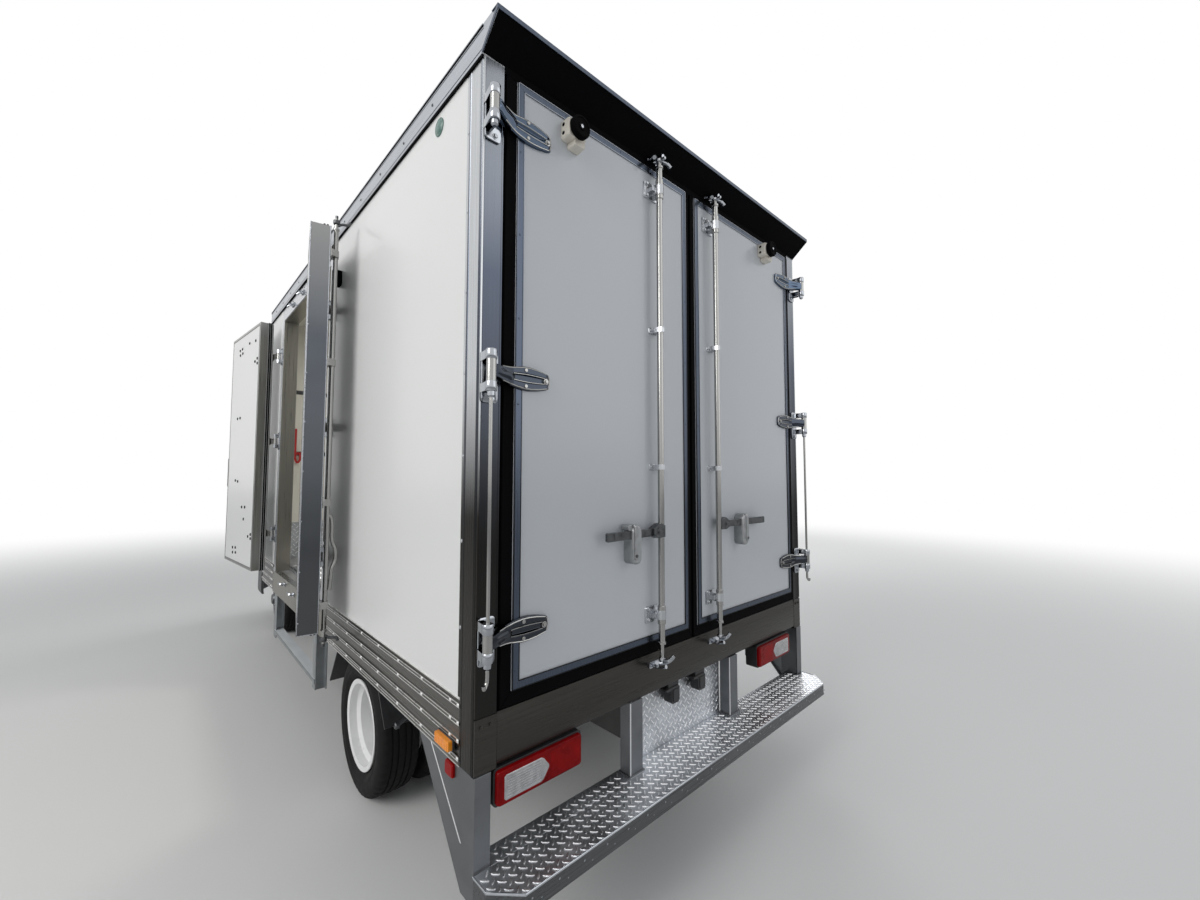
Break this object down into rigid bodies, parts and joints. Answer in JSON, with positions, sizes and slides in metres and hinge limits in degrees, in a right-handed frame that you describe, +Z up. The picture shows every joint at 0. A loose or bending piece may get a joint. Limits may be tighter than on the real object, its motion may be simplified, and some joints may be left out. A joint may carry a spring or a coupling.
{
  "type": "refrigerated truck",
  "caption": "Light cab-over refrigerated truck with an insulated body, rear doors, an open side door, a tilting cab, steered front wheels and twin rear wheels.",
  "frame": {"origin": "on the ground under the middle of the overall length and width, 58 mm left of the truck's centre line, because the side doors stand open on the left", "axes": "+X to the truck's right, +Y forward to the cab, +Z up"},
  "size_m": [2.5575, 5.977, 3.12],
  "materials": {
    "body_white": "gloss white composite panel",
    "door_white": "satin white door skin",
    "bright_aluminium": "brushed extrusion",
    "dark_aluminium": "mirror-like stainless and aluminium trim",
    "chequer_plate": "bright chequer plate",
    "galvanised": "galvanised steel",
    "chrome": "polished",
    "chassis_black": "satin black paint",
    "cast_grey": "painted casting",
    "rim_white": "gloss white steel rim",
    "tyre": "road tyre",
    "lamp_red": "red lens",
    "lamp_clear": "clear lens",
    "cab_white": "gloss white paint",
    "window": "tinted glass",
    "interior_grey": "grained plastic",
    "seat_cloth": "woven seat cloth",
    "black_plastic": "black plastic",
    "unit_white": "white moulded cover"
  },
  "bodies": {
    "chassis": {"battery_box": "black_plastic", "box_floor": "bright_aluminium", "box_front_wall": "body_white", "box_roof": "body_white", "box_wall_left": "body_white", "box_wall_right": "body_white", "chassis_frame": "chassis_black", "driveline": "cast_grey", "engine_block": "cast_grey", "exhaust": "galvanised", "front_axle": "chassis_black", "front_bumper": "cab_white", "fuel_tank": "chassis_black", "leaf_springs": "chassis_black", "rear_axle": "chassis_black", "rear_frame": "dark_aluminium", "rear_mudguards": "black_plastic", "rear_step_brackets": "galvanised", "rear_step_tread": "chequer_plate", "refrigeration_unit": "unit_white", "roof_rails": "bright_aluminium", "side_door_frame": "bright_aluminium", "side_skirts": "dark_aluminium", "side_step": "galvanised", "tail_lamps": "lamp_red"},
    "cab": {"cab_shell": "cab_white", "cab_glass": "window", "dashboard": "interior_grey", "seats": "seat_cloth", "headlamps": "lamp_clear", "mirrors": "black_plastic"},
    "left_cab_door": {"cab_door_left": "cab_white", "door_glass_left": "window"},
    "right_cab_door": {"cab_door_right": "cab_white", "door_glass_right": "window"},
    "left_knuckle": {"knuckle_left": "cast_grey"},
    "right_knuckle": {"knuckle_right": "cast_grey"},
    "front_left_wheel": {"front_rim_left": "rim_white", "front_tyre_left": "tyre"},
    "front_right_wheel": {"front_rim_right": "rim_white", "front_tyre_right": "tyre"},
    "rear_left_wheels": {"rear_rims_left": "rim_white", "rear_tyres_left": "tyre"},
    "rear_right_wheels": {"rear_rims_right": "rim_white", "rear_tyres_right": "tyre"},
    "left_rear_door": {"rear_door_left": "door_white", "rear_door_gear_left": "chrome"},
    "right_rear_door": {"rear_door_right": "door_white", "rear_door_gear_right": "chrome"},
    "front_side_leaf": {"side_door_front": "body_white"},
    "rear_side_leaf": {"side_door_rear": "body_white"}
  },
  "joints": [
    {"name": "steer_left", "type": "hinge", "parent": "chassis", "child": "left_knuckle", "pos_m": [-0.565, 1.8835, 0.345], "axis": [0, 0, 1], "range_deg": [-35, 35]},
    {"name": "steer_right", "type": "hinge", "parent": "chassis", "child": "right_knuckle", "pos_m": [0.681, 1.8835, 0.345], "axis": [0, 0, 1], "range_deg": [-35, 35]},
    {"name": "front_left_spin", "type": "hinge", "parent": "left_knuckle", "child": "front_left_wheel", "pos_m": [-0.675, 1.8835, 0.345], "axis": [-1, 0, 0], "continuous": true},
    {"name": "front_right_spin", "type": "hinge", "parent": "right_knuckle", "child": "front_right_wheel", "pos_m": [0.791, 1.8835, 0.345], "axis": [-1, 0, 0], "continuous": true},
    {"name": "rear_left_spin", "type": "hinge", "parent": "chassis", "child": "rear_left_wheels", "pos_m": [-0.745, -1.4605, 0.345], "axis": [-1, 0, 0], "continuous": true},
    {"name": "rear_right_spin", "type": "hinge", "parent": "chassis", "child": "rear_right_wheels", "pos_m": [0.861, -1.4605, 0.345], "axis": [-1, 0, 0], "continuous": true},
    {"name": "cab_tilt", "type": "hinge", "parent": "chassis", "child": "cab", "pos_m": [0.058, 2.8235, 0.7], "axis": [-1, 0, 0], "range_deg": [0, 45]},
    {"name": "left_cab_door_swing", "type": "hinge", "parent": "cab", "child": "left_cab_door", "pos_m": [-0.789, 2.6635, 1], "axis": [0, 0, -1], "range_deg": [0, 70]},
    {"name": "right_cab_door_swing", "type": "hinge", "parent": "cab", "child": "right_cab_door", "pos_m": [0.905, 2.6635, 1], "axis": [0, 0, 1], "range_deg": [0, 70]},
    {"name": "left_rear_door_swing", "type": "hinge", "parent": "chassis", "child": "left_rear_door", "pos_m": [-1.034, -2.8765, 1.5], "axis": [0, 0, -1], "range_deg": [0, 262]},
    {"name": "right_rear_door_swing", "type": "hinge", "parent": "chassis", "child": "right_rear_door", "pos_m": [1.15, -2.8765, 1.5], "axis": [0, 0, 1], "range_deg": [0, 262]},
    {"name": "rear_side_leaf_shut", "type": "hinge", "parent": "chassis", "child": "rear_side_leaf", "pos_m": [-1.062, -1.0265, 1.5], "axis": [0, 0, -1], "range_deg": [0, 169.5]},
    {"name": "front_side_leaf_shut", "type": "hinge", "parent": "chassis", "child": "front_side_leaf", "pos_m": [-1.067, 0.4835, 1.5], "axis": [0, 0, 1], "range_deg": [0, 174.3]}
  ],
  "couplings": [
    {"joint": "steer_right", "follows": "steer_left", "ratio": 1}
  ]
}
